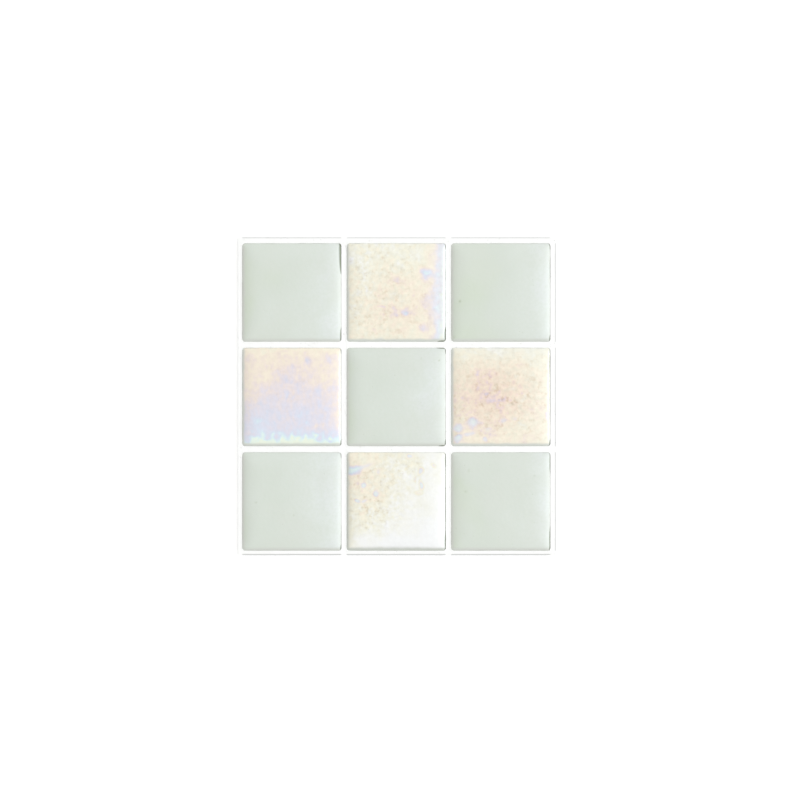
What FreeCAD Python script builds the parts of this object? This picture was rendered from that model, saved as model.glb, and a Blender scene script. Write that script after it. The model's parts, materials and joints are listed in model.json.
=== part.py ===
import FreeCAD
import Part
import Sketcher
import math
import os

# A mosaic sheet: square pressed-glass tiles stand in a grid on a glass-fibre net, and a white filler
# closes the joints between and round them. Lengths are in millimetres and angles in degrees.
# The origin is the middle of the net's underside. +Z leaves the tiles' faces, X runs along the rows
# from column 1, and +Y points at row 1.

SIZES = {
    # Grid
    "tile_rows": 3,
    "tile_columns": 3,
    "joint_width": 1.2,
    "edge_margin": 1.0,
    # Pressed tile: widest at the arris, narrower towards its back, rounded round its face
    "tile_side": 24.9,
    "tile_thickness": 4.2,
    "arris_height": 2.2,
    "back_taper": 18.0,
    "corner_round": 1.0,
    "face_round": 1.0,
    # Grooves that key the tile's back
    "groove_width": 1.5,
    "groove_depth": 0.5,
    "groove_draft": 25.0,
    "groove_spacing": 3.2,
    # Joint filler, below the tiles' faces
    "joint_depth": 1.05,
    # Net
    "strand_width": 0.9,
    "strand_thickness": 0.4,
    "strand_spacing": 7.2,
}

# What follows from the sizes, as expressions in the names above
PITCH = "(Sizes.tile_side + Sizes.joint_width)"
SHEET_WIDTH = f"(Sizes.tile_columns * {PITCH} - Sizes.joint_width + 2 * Sizes.edge_margin)"
SHEET_DEPTH = f"(Sizes.tile_rows * {PITCH} - Sizes.joint_width + 2 * Sizes.edge_margin)"
FIRST_COLUMN = f"((1 - Sizes.tile_columns) / 2 * {PITCH})"
LAST_ROW = f"((1 - Sizes.tile_rows) / 2 * {PITCH})"
BACK_SIDE = "(Sizes.tile_side - 2 * Sizes.arris_height * tan(Sizes.back_taper))"
GROOVE_FLOOR = "(Sizes.groove_width - 2 * Sizes.groove_depth * tan(Sizes.groove_draft))"
GROOVE_STEPS = f"floor(({BACK_SIDE} - Sizes.groove_width) / Sizes.groove_spacing)"
STRAND_STEPS_X = f"(2 * floor(({SHEET_WIDTH} - Sizes.strand_width) / 2 / Sizes.strand_spacing))"
STRAND_STEPS_Y = f"(2 * floor(({SHEET_DEPTH} - Sizes.strand_width) / 2 / Sizes.strand_spacing))"

# How a constraint names a point of an edge, the sketch's origin and its X axis
START, END, CENTRE = range(1, 4)
ORIGIN = (-1, START)
X_AXIS = ORIGIN[0]

# Points closer than this are at one height
TOUCH = 1e-6


def size_sheet(doc):
    """Write the driving sizes into a spreadsheet, one named cell each."""
    sheet = doc.addObject("Spreadsheet::Sheet", "Sizes")
    for row, (name, value) in enumerate(SIZES.items(), start=1):
        sheet.set(f"A{row}", name)
        sheet.set(f"B{row}", str(value))
        sheet.setAlias(f"B{row}", name)
    doc.recompute()
    return sheet


def bind(thing, **expressions):
    """Tie each named property of an object to an expression in the sizes."""
    for name, expression in expressions.items():
        thing.setExpression(name, expression)


def bind_place(thing, x="0", y="0", z="0", prefix=".Placement"):
    """Tie an object's place, or a sketch's offset from its plane, to expressions in the sizes."""
    for axis, expression in (("x", x), ("y", y), ("z", z)):
        thing.setExpression(f"{prefix}.Base.{axis}", expression)


def origin_feature(body, role):
    """Return the body's own origin plane or axis that has this role."""
    return next(feature for feature in body.Origin.OriginFeatures if feature.Role == role)


def new_sketch(body, role, name):
    """Start a sketch on one of the body's own origin planes."""
    sketch = body.newObject("Sketcher::SketchObject", name)
    sketch.AttachmentSupport = [(origin_feature(body, role), "")]
    sketch.MapMode = "FlatFace"
    return sketch


def constrain(sketch, kind, *where, value=None, name=None):
    """Add one constraint, and bind it to an expression if it is given one as its value."""
    if value is None:
        return sketch.addConstraint(Sketcher.Constraint(kind, *where))
    index = sketch.addConstraint(Sketcher.Constraint(kind, *where, sketch.evalExpression(value)))
    sketch.renameConstraint(index, name)
    sketch.setExpression(f"Constraints.{name}", value)
    return index


def draw_rounded_square(sketch, side, radius):
    """Draw a square with rounded corners about the sketch's origin."""
    half = sketch.evalExpression(side) / 2
    corner = sketch.evalExpression(radius)
    turn = FreeCAD.Rotation(FreeCAD.Vector(0, 0, 1), 90)
    line_start = FreeCAD.Vector(corner - half, -half, 0)
    line_end = FreeCAD.Vector(half - corner, -half, 0)
    arc_centre = FreeCAD.Vector(half - corner, corner - half, 0)
    normal = FreeCAD.Vector(0, 0, 1)
    for step in range(4):
        sketch.addGeometry(Part.LineSegment(line_start, line_end))
        circle = Part.Circle(arc_centre, normal, corner)
        sketch.addGeometry(Part.ArcOfCircle(circle, (step - 1) * math.pi / 2, step * math.pi / 2))
        line_start, line_end, arc_centre = (turn.multVec(p) for p in (line_start, line_end, arc_centre))
    for step in range(4):
        line, arc, next_line = 2 * step, 2 * step + 1, (2 * step + 2) % 8
        constrain(sketch, "Tangent", line, END, arc, START)
        constrain(sketch, "Tangent", arc, END, next_line, START)
        constrain(sketch, "Horizontal" if step % 2 == 0 else "Vertical", line)
        if step:
            constrain(sketch, "Equal", 1, arc)
    constrain(sketch, "Symmetric", 1, CENTRE, 5, CENTRE, *ORIGIN)
    constrain(sketch, "DistanceX", 6, START, 2, START, value=side, name="width")
    constrain(sketch, "DistanceY", 0, START, 4, START, value=side, name="depth")
    constrain(sketch, "Radius", 1, value=radius, name="corner")


def draw_loop(sketch, corners):
    """Draw straight lines from corner to corner and back to the first, joined end to end."""
    for step, corner in enumerate(corners):
        sketch.addGeometry(Part.LineSegment(corner, corners[(step + 1) % len(corners)]))
    for step in range(len(corners)):
        constrain(sketch, "Coincident", step, END, (step + 1) % len(corners), START)


def draw_rectangle(sketch, width, depth):
    """Draw a rectangle about the sketch's origin."""
    half_x = sketch.evalExpression(width) / 2
    half_y = sketch.evalExpression(depth) / 2
    corners = [FreeCAD.Vector(x, y, 0) for x, y in
               ((-half_x, -half_y), (half_x, -half_y), (half_x, half_y), (-half_x, half_y))]
    draw_loop(sketch, corners)
    for step in range(4):
        constrain(sketch, "Horizontal" if step % 2 == 0 else "Vertical", step)
    constrain(sketch, "Symmetric", 0, START, 2, START, *ORIGIN)
    constrain(sketch, "DistanceX", 0, START, 0, END, value=width, name="width")
    constrain(sketch, "DistanceY", 1, START, 1, END, value=depth, name="depth")


def draw_groove_section(sketch, mouth, floor, depth):
    """Draw a trapezoid that opens on the sketch's horizontal axis and narrows away from it."""
    half_mouth = sketch.evalExpression(mouth) / 2
    half_floor = sketch.evalExpression(floor) / 2
    deep = sketch.evalExpression(depth)
    corners = [FreeCAD.Vector(x, y, 0) for x, y in
               ((-half_mouth, 0), (half_mouth, 0), (half_floor, deep), (-half_floor, deep))]
    draw_loop(sketch, corners)
    constrain(sketch, "Horizontal", 2)
    constrain(sketch, "Symmetric", 0, START, 0, END, *ORIGIN)
    constrain(sketch, "Equal", 1, 3)
    constrain(sketch, "DistanceX", 0, START, 0, END, value=mouth, name="mouth")
    constrain(sketch, "DistanceX", 2, END, 2, START, value=floor, name="floor")
    constrain(sketch, "DistanceY", 0, END, 2, START, value=depth, name="depth")


def draw_bevel_section(sketch, start, run, rise):
    """Draw a right triangle on the sketch's horizontal axis, its slope rising outwards from start."""
    near = sketch.evalExpression(start)
    far = near + sketch.evalExpression(run)
    high = sketch.evalExpression(rise)
    draw_loop(sketch, [FreeCAD.Vector(near, 0, 0), FreeCAD.Vector(far, 0, 0), FreeCAD.Vector(far, high, 0)])
    constrain(sketch, "Vertical", 1)
    constrain(sketch, "Horizontal", 0)
    constrain(sketch, "PointOnObject", 0, START, X_AXIS)
    constrain(sketch, "DistanceX", *ORIGIN, 0, START, value=start, name="start")
    constrain(sketch, "DistanceX", 0, START, 0, END, value=run, name="run")
    constrain(sketch, "DistanceY", 1, START, 1, END, value=rise, name="rise")


def make_blank(doc):
    """Press the plain tile: upright rim, four bevels towards its back and a rounded edge to its face."""
    body = doc.addObject("PartDesign::Body", "tile_blank")
    outline = new_sketch(body, "XY_Plane", "tile_outline")
    draw_rounded_square(outline, "Sizes.tile_side", "Sizes.corner_round")
    pressing = body.newObject("PartDesign::Pad", "pressing")
    pressing.Profile = outline
    bind(pressing, Length="Sizes.tile_thickness")
    doc.recompute()

    top = pressing.Shape.BoundBox.ZMax
    rim = [f"Edge{number}" for number, edge in enumerate(pressing.Shape.Edges, start=1)
           if all(abs(vertex.Z - top) < TOUCH for vertex in edge.Vertexes)]
    rounding = body.newObject("PartDesign::Fillet", "face_edge")
    rounding.Base = (pressing, rim)
    bind(rounding, Radius="Sizes.face_round")

    # The section is drawn to twice the bevel's run and rise, so that it clears the tile's side
    section = new_sketch(body, "XZ_Plane", "bevel_section")
    draw_bevel_section(section, f"({BACK_SIDE} / 2)", f"(Sizes.tile_side - {BACK_SIDE})",
                       "(2 * Sizes.arris_height)")
    bevel = body.newObject("PartDesign::Pocket", "bevel")
    bevel.Profile = section
    bevel.SideType = "Symmetric"
    bind(bevel, Length="2 * Sizes.tile_side")
    doc.recompute()
    bevels = body.newObject("PartDesign::PolarPattern", "bevels")
    bevels.Originals = [bevel]
    bevels.Axis = (origin_feature(body, "Z_Axis"), [""])
    bevels.Angle = 360
    bevels.Occurrences = 4
    body.Tip = bevels
    doc.recompute()
    return body


def clone_into(body, source, name):
    """Start a body from another body's finished shape."""
    clone = body.newObject("PartDesign::FeatureBase", name)
    clone.BaseFeature = source
    return clone


def make_ribbed_tile(doc, blank):
    """Key the back of the blank with grooves that run from side to side and leave ribs between."""
    body = doc.addObject("PartDesign::Body", "ribbed_tile")
    clone_into(body, blank, "pressed_blank")
    section = new_sketch(body, "YZ_Plane", "groove_section")
    bind_place(section, x=f"-{GROOVE_STEPS} / 2 * Sizes.groove_spacing", prefix=".AttachmentOffset")
    draw_groove_section(section, "Sizes.groove_width", GROOVE_FLOOR, "Sizes.groove_depth")

    groove = body.newObject("PartDesign::Pocket", "groove")
    groove.Profile = section
    groove.SideType = "Symmetric"
    bind(groove, Length="Sizes.tile_side")
    doc.recompute()

    grooves = body.newObject("PartDesign::LinearPattern", "grooves")
    grooves.Originals = [groove]
    grooves.Direction = (section, ["H_Axis"])
    grooves.Mode = "Spacing"
    bind(grooves, Offset="Sizes.groove_spacing", Occurrences=f"{GROOVE_STEPS} + 1")
    body.Tip = grooves
    doc.recompute()
    return body


def lay_tile(doc, tile, row, column):
    """Lay one tile on the net at its place in the grid."""
    name = f"tile_r{row}_c{column}"
    body = doc.addObject("PartDesign::Body", name)
    clone_into(body, tile, f"{name}_pressing")
    bind_place(body, x=f"(({column} - 1) * {PITCH} + {FIRST_COLUMN})",
               y=f"((Sizes.tile_rows - {row}) * {PITCH} + {LAST_ROW})", z="Sizes.strand_thickness")
    return body


def repeat_whole(doc, body, axis, occurrences, name):
    """Repeat all that the body holds so far along one of its axes, one grid pitch apart."""
    pattern = body.newObject("PartDesign::LinearPattern", name)
    pattern.TransformMode = "Whole shape"
    pattern.Direction = (origin_feature(body, axis), [""])
    pattern.Mode = "Spacing"
    bind(pattern, Offset=PITCH, Occurrences=occurrences)
    body.Tip = pattern
    doc.recompute()


def make_seats(doc, blank):
    """Repeat the plain blank over the whole grid, as the hollows that the filler leaves for the tiles."""
    body = doc.addObject("PartDesign::Body", "tile_seats")
    clone_into(body, blank, "first_seat")
    bind_place(body, x=FIRST_COLUMN, y=LAST_ROW, z="Sizes.strand_thickness")
    doc.recompute()
    repeat_whole(doc, body, "X_Axis", "Sizes.tile_columns", "seats_along_rows")
    repeat_whole(doc, body, "Y_Axis", "Sizes.tile_rows", "seats_along_columns")
    return body


def make_grout(doc, seats):
    """Fill the joints and the margin: a slab on the net, less the tiles that stand in it."""
    slab = doc.addObject("Part::Box", "filler_slab")
    bind(slab, Length=SHEET_WIDTH, Width=SHEET_DEPTH, Height="Sizes.tile_thickness - Sizes.joint_depth")
    bind_place(slab, x=f"-{SHEET_WIDTH} / 2", y=f"-{SHEET_DEPTH} / 2", z="Sizes.strand_thickness")
    grout = doc.addObject("Part::Cut", "grout_grid")
    grout.Base = slab
    grout.Tool = seats
    return grout


def add_strands(doc, body, along, width, depth, steps):
    """Add parallel strands to the net, the first one placed and the rest patterned across the sheet."""
    across = {"X": "y", "Y": "x"}[along]
    outline = new_sketch(body, "XY_Plane", f"strand_outline_{along}")
    bind_place(outline, **{across: f"-{steps} / 2 * Sizes.strand_spacing"}, prefix=".AttachmentOffset")
    draw_rectangle(outline, width, depth)
    strand = body.newObject("PartDesign::Pad", f"strand_{along}")
    strand.Profile = outline
    bind(strand, Length="Sizes.strand_thickness")
    doc.recompute()
    strands = body.newObject("PartDesign::LinearPattern", f"strands_{along}")
    strands.Originals = [strand]
    strands.Direction = (outline, ["V_Axis" if across == "y" else "H_Axis"])
    strands.Mode = "Spacing"
    bind(strands, Offset="Sizes.strand_spacing", Occurrences=f"{steps} + 1")
    body.Tip = strands
    doc.recompute()


def make_net(doc):
    """Make the glass-fibre net: flat strands both ways, bonded into one piece where they cross."""
    body = doc.addObject("PartDesign::Body", "backing_mesh")
    add_strands(doc, body, "X", SHEET_WIDTH, "Sizes.strand_width", STRAND_STEPS_Y)
    add_strands(doc, body, "Y", "Sizes.strand_width", SHEET_DEPTH, STRAND_STEPS_X)
    return body


def check(doc, pieces):
    """Stop if a feature failed, a cut removed nothing or a piece isn't one valid solid."""
    for thing in doc.Objects:
        if {"Invalid", "Error"} & set(thing.State):
            raise RuntimeError(f"{thing.Label} failed: {thing.State}")
        if thing.TypeId in ("PartDesign::Pocket", "PartDesign::Groove"):
            if thing.Shape.Volume >= thing.BaseFeature.Shape.Volume:
                raise RuntimeError(f"{thing.Label} removes nothing")
    for piece in pieces:
        if piece.Shape.isNull() or not piece.Shape.isValid() or len(piece.Shape.Solids) != 1:
            raise RuntimeError(f"{piece.Label} isn't one valid solid")


def export(pieces, folder="parts"):
    """Write each piece to a file that has its label as its name."""
    os.makedirs(folder, exist_ok=True)
    for piece in pieces:
        piece.Shape.exportStep(f"{folder}/{piece.Label}.step")
        print(f"{piece.Label}: {piece.Shape.Volume:.2f} mm3")


def main():
    """Build the sheet's pieces in one document, check them and write them out."""
    doc = FreeCAD.newDocument("MosaicSheet")
    sheet = size_sheet(doc)
    blank = make_blank(doc)
    tile = make_ribbed_tile(doc, blank)
    pieces = [lay_tile(doc, tile, row, column)
              for row in range(1, int(sheet.tile_rows) + 1)
              for column in range(1, int(sheet.tile_columns) + 1)]
    pieces.append(make_grout(doc, make_seats(doc, blank)))
    pieces.append(make_net(doc))
    doc.recompute()
    check(doc, pieces)
    export(pieces)


main()
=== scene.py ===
"""Dresses a sheet of pressed glass mosaic: plain sage and iridescent tiles, white joints, fibre net.

Every piece is a surface worked out with numpy, in metres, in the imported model's own frame:
+Z out of the tiles' faces, X along the rows, +Y towards row 1.
"""

import json
import logging
import math
from dataclasses import dataclass, replace
from enum import Enum

import bpy
import numpy as np
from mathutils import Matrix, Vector


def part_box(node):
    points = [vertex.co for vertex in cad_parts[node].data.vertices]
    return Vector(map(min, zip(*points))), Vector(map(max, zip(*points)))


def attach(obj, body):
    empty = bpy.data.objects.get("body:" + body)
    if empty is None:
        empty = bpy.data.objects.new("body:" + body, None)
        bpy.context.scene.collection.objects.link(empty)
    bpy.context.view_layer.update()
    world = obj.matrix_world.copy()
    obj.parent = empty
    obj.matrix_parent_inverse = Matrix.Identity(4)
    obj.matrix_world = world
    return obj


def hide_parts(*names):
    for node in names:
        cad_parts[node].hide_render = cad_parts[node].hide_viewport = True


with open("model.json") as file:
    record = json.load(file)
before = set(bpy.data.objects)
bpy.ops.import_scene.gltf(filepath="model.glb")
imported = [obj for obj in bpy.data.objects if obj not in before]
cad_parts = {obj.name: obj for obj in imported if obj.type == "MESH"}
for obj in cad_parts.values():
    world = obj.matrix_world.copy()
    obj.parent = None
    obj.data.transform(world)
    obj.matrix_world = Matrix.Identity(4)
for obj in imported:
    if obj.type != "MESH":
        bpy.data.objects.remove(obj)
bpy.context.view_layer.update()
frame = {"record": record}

log = logging.getLogger("mosaic")

MM = 0.001
WELD = 2e-7  # points nearer than this are one point
PHOTO_PIXELS = 800
PIXELS_PER_MM = 4.004  # in the plane of the tiles' faces

Colour = tuple[float, float, float, float]


def screen(red: float, green: float, blue: float) -> Colour:
    """Turns a colour as a screen shows it, 0 to 255, into linear light.

    Args:
        red: Red, 0 to 255.
        green: Green, 0 to 255.
        blue: Blue, 0 to 255.

    Returns:
        c / 12.92 up to 0.04045 and ((c + 0.055) / 1.055) ** 2.4 above, with an alpha of 1.
    """
    shares = [value / 255 for value in (red, green, blue)]
    light = [s / 12.92 if s <= 0.04045 else ((s + 0.055) / 1.055) ** 2.4 for s in shares]
    return (light[0], light[1], light[2], 1.0)


def ease(value: np.ndarray, start: float, end: float) -> np.ndarray:
    """Rises smoothly from 0 at start to 1 at end: t squared times (3 - 2 t)."""
    share = np.clip((value - start) / (end - start), 0, 1)
    return share * share * (3 - 2 * share)


@dataclass(frozen=True)
class Ripples:
    """Gentle unevenness: cosine waves of nearly one length, each with its own heading and start."""

    length: float
    seed: int
    count: int = 18

    def at(self, x: np.ndarray, y: np.ndarray) -> np.ndarray:
        """Works out the unevenness at some points.

        Args:
            x: Places along X.
            y: Places along Y.

        Returns:
            The sum of cos(2 pi (x cos a + y sin a) / l + p) over all waves, divided by the root of
            half their number, so that it mostly lies between -2 and 2.
        """
        chance = np.random.default_rng(self.seed)
        heading = chance.uniform(0, 2 * math.pi, self.count)
        number = 2 * math.pi / (self.length * chance.uniform(0.7, 1.5, self.count))
        start = chance.uniform(0, 2 * math.pi, self.count)
        across = np.multiply.outer(x, number * np.cos(heading))
        along = np.multiply.outer(y, number * np.sin(heading))
        return np.cos(across + along + start).sum(axis=-1) / math.sqrt(self.count / 2)


class Shell:
    """Gathers grids of points into one closed mesh, in which points that coincide are one."""

    def __init__(self) -> None:
        """Starts with no points."""
        self.points: list[np.ndarray] = []
        self.quads: list[np.ndarray] = []
        self.values: dict[str, list[np.ndarray]] = {}
        self.count = 0

    def add_grid(self, points: np.ndarray, turned: bool = False, **values: np.ndarray) -> None:
        """Adds a grid of points with one quad for each of its cells.

        Args:
            points: The places, as an array of rows by columns by 3.
            turned: Whether the quads face against rows x columns instead of along it.
            **values: For each named attribute, one number for each point.
        """
        rows, columns = points.shape[:2]
        index = self.count + np.arange(rows * columns).reshape(rows, columns)
        corners = [index[:-1, :-1], index[1:, :-1], index[1:, 1:], index[:-1, 1:]]
        quads = np.stack(corners[::-1] if turned else corners, axis=-1).reshape(-1, 4)
        self.points.append(points.reshape(-1, 3))
        self.quads.append(quads)
        for name, value in values.items():
            self.values.setdefault(name, []).append(np.broadcast_to(value, (rows, columns)).ravel())
        self.count += rows * columns

    def build(self, name: str, material: bpy.types.Material) -> bpy.types.Object:
        """Welds the grids and makes an object of them.

        Args:
            name: The object's name.
            material: Its finish.

        Returns:
            The object, at the origin, with its place in its mesh.
        """
        points = np.concatenate(self.points)
        keys = np.round(points / WELD).astype(np.int64)
        _, kept, merged = np.unique(keys, axis=0, return_index=True, return_inverse=True)
        quads = merged.reshape(-1)[np.concatenate(self.quads)]
        mesh = bpy.data.meshes.new(name)
        mesh.vertices.add(len(kept))
        mesh.vertices.foreach_set("co", points[kept].ravel())
        mesh.loops.add(quads.size)
        mesh.loops.foreach_set("vertex_index", quads.ravel())
        mesh.polygons.add(len(quads))
        mesh.polygons.foreach_set("loop_start", np.arange(len(quads)) * 4)
        mesh.update(calc_edges=True)
        mesh.polygons.foreach_set("use_smooth", np.ones(len(quads), dtype=bool))
        for label, parts in self.values.items():
            data = mesh.attributes.new(label, "FLOAT", "POINT").data
            data.foreach_set("value", np.concatenate(parts)[kept].astype(np.float32))
        mesh.materials.append(material)
        piece = bpy.data.objects.new(name, mesh)
        bpy.context.scene.collection.objects.link(piece)
        return piece


class Recipe:
    """A material's node tree, with one short method for each kind of step that the finishes use."""

    def __init__(self, name: str) -> None:
        """Starts an empty material.

        Args:
            name: The material's name.
        """
        self.material = bpy.data.materials.new(name)
        self.material.use_nodes = True
        self.tree = self.material.node_tree
        self.tree.nodes.clear()
        self.place = self.add("ShaderNodeTexCoord").outputs["Object"]

    def add(self, kind: str, inputs: dict | None = None, **settings: object) -> bpy.types.Node:
        """Adds one node.

        Args:
            kind: The node's type.
            inputs: A number, colour or other node's output for each input, by name or number.
            **settings: The node's own properties.

        Returns:
            The node.
        """
        node = self.tree.nodes.new(kind)
        for label, value in settings.items():
            setattr(node, label, value)
        for label, value in (inputs or {}).items():
            if isinstance(value, bpy.types.NodeSocket):
                self.tree.links.new(value, node.inputs[label])
            else:
                node.inputs[label].default_value = value
        return node

    def value(self, name: str) -> bpy.types.NodeSocket:
        """Reads one of the mesh's attributes."""
        return self.add("ShaderNodeAttribute", attribute_name=name).outputs["Fac"]

    def maths(self, operation: str, *terms: object, clamp: bool = False) -> bpy.types.NodeSocket:
        """Does a sum on one, two or three numbers."""
        inputs = dict(enumerate(terms))
        return self.add("ShaderNodeMath", inputs, operation=operation, use_clamp=clamp).outputs[0]

    def span(self, value: bpy.types.NodeSocket, low: float, high: float,
             start: float = 0.0, end: float = 1.0) -> bpy.types.NodeSocket:
        """Carries low to high over to start to end, smoothly and no further."""
        inputs = {"Value": value, "From Min": low, "From Max": high, "To Min": start, "To Max": end}
        node = self.add("ShaderNodeMapRange", inputs, interpolation_type="SMOOTHSTEP")
        return node.outputs["Result"]

    def cloud(self, size: float, detail: float = 2.0, place: object = None) -> bpy.types.NodeSocket:
        """Soft noise from 0 to 1, with lumps of about the given size in metres."""
        inputs = {"Vector": place or self.place, "Scale": 1 / size, "Detail": detail}
        return self.add("ShaderNodeTexNoise", inputs).outputs["Fac"]

    def cells(self, size: float, place: object = None) -> bpy.types.NodeSocket:
        """Distance to the nearest of scattered points about a size apart, 0 at a point."""
        inputs = {"Vector": place or self.place, "Scale": 1 / size}
        return self.add("ShaderNodeTexVoronoi", inputs).outputs["Distance"]

    def blend(self, share: object, first: object, second: object,
              kind: str = "MIX") -> bpy.types.NodeSocket:
        """Mixes two colours: the first at a share of 0, the second at 1."""
        inputs = {0: share, 6: first, 7: second}
        return self.add("ShaderNodeMix", inputs, data_type="RGBA", blend_type=kind).outputs[2]

    def scale(self, value: bpy.types.NodeSocket, stops: list[tuple[float, Colour]]) -> bpy.types.NodeSocket:
        """Looks a number up on a scale of colours."""
        node = self.add("ShaderNodeValToRGB", {"Fac": value})
        node.color_ramp.interpolation = "B_SPLINE" if len(stops) > 8 else "LINEAR"
        marks = node.color_ramp.elements
        for _ in stops[2:]:
            marks.new(0.5)
        for mark, (position, colour) in zip(marks, stops):
            mark.position = position
            mark.color = colour
        return node.outputs["Color"]

    def bump(self, height: bpy.types.NodeSocket, depth: float, base: object = None) -> bpy.types.NodeSocket:
        """Tilts the surface as if it rose by depth metres where height is 1."""
        inputs = {"Height": height, "Distance": depth, "Strength": 1.0}
        if base is not None:
            inputs["Normal"] = base
        return self.add("ShaderNodeBump", inputs).outputs["Normal"]

    def finish(self, surface: bpy.types.NodeSocket) -> bpy.types.Material:
        """Ends the tree with its output."""
        self.add("ShaderNodeOutputMaterial", {"Surface": surface})
        return self.material


@dataclass(frozen=True)
class BareGlass:
    """The tiles' own glass, which shows where there is no film: cloudy and grey green at the edges. It also carries
    painted shade: an edge band, widest at the left and bottom, and dark slivers in the gaps by the filler.
    """

    edge: Colour = screen(217, 220, 214)
    shade_sliver: Colour = screen(116, 124, 104)

    def colour(self, recipe: Recipe, face: object) -> bpy.types.NodeSocket:
        """Puts the bare edges round a face's colour.

        Args:
            recipe: The material being made.
            face: The colour of the face.

        Returns:
            The face's colour where "face" is 1, the edge's where it is 0, and the dark colour of the painted shade
            where "bare_glass_shade" is 1.
        """
        mixed = recipe.blend(recipe.value("face"), self.edge, face)
        return recipe.blend(recipe.value("bare_glass_shade"), mixed, self.shade_sliver)


@dataclass(frozen=True)
class SageGlass:
    """Plain pressed glass: cloudy sage, satin, with tiny pits and seeds."""

    seed: Colour = screen(176, 186, 160)
    grey: Colour = screen(217, 222, 214)
    roughness: float = 0.38

    def stops(self) -> list[tuple[float, Colour]]:
        """Gives the glass's colours along milk_and_painted_light, from clear green to milky and bluer. This is painted
        light: the face is clearer and darker at the left, and milkier, lighter and bluer at the right, where the lamp
        stands.
        """
        return [
            (0.00, screen(211, 220, 205)),
            (0.20, screen(214, 221, 212)),
            (0.80, screen(221, 227, 221)),
            (0.92, screen(224, 230, 226)),
            (1.00, screen(225, 230, 228)),
        ]

    def make(self) -> bpy.types.Material:
        """Makes the material."""
        recipe = Recipe("sage_glass_satin")
        cloud = recipe.maths("MULTIPLY_ADD", recipe.cloud(6 * MM, 3), 0.28, -0.14)
        # milk_and_painted_light: the glass's own milkiness, plus painted light that darkens the face at the left and
        # lightens it at the right.
        milk_and_painted_light = recipe.maths("ADD", recipe.value("milk_and_painted_light"), cloud, clamp=True)
        grain = recipe.span(recipe.cloud(0.7 * MM, 2), 0.3, 0.75)
        colour = recipe.scale(milk_and_painted_light, self.stops())
        greyer = recipe.span(recipe.cloud(11 * MM, 2), 0.42, 0.66, 0.0, 0.55)
        colour = recipe.blend(greyer, colour, self.grey)
        colour = recipe.blend(recipe.maths("MULTIPLY", grain, 0.35), colour, screen(213, 221, 210))
        seeds = recipe.span(recipe.cells(3.1 * MM), 0.075, 0.03)
        colour = recipe.blend(recipe.maths("MULTIPLY", seeds, 0.14), colour, self.seed)
        colour = recipe.blend(recipe.value("grit"), colour, self.seed)
        colour = BareGlass().colour(recipe, colour)
        normal = recipe.bump(recipe.cloud(1.4 * MM, 3), 0.015 * MM)
        normal = recipe.bump(seeds, -0.01 * MM, normal)
        shader = recipe.add("ShaderNodeBsdfPrincipled", {
            "Base Color": colour, "Roughness": self.roughness, "IOR": 1.52, "Normal": normal,
        })
        return recipe.finish(shader.outputs[0])


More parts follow.
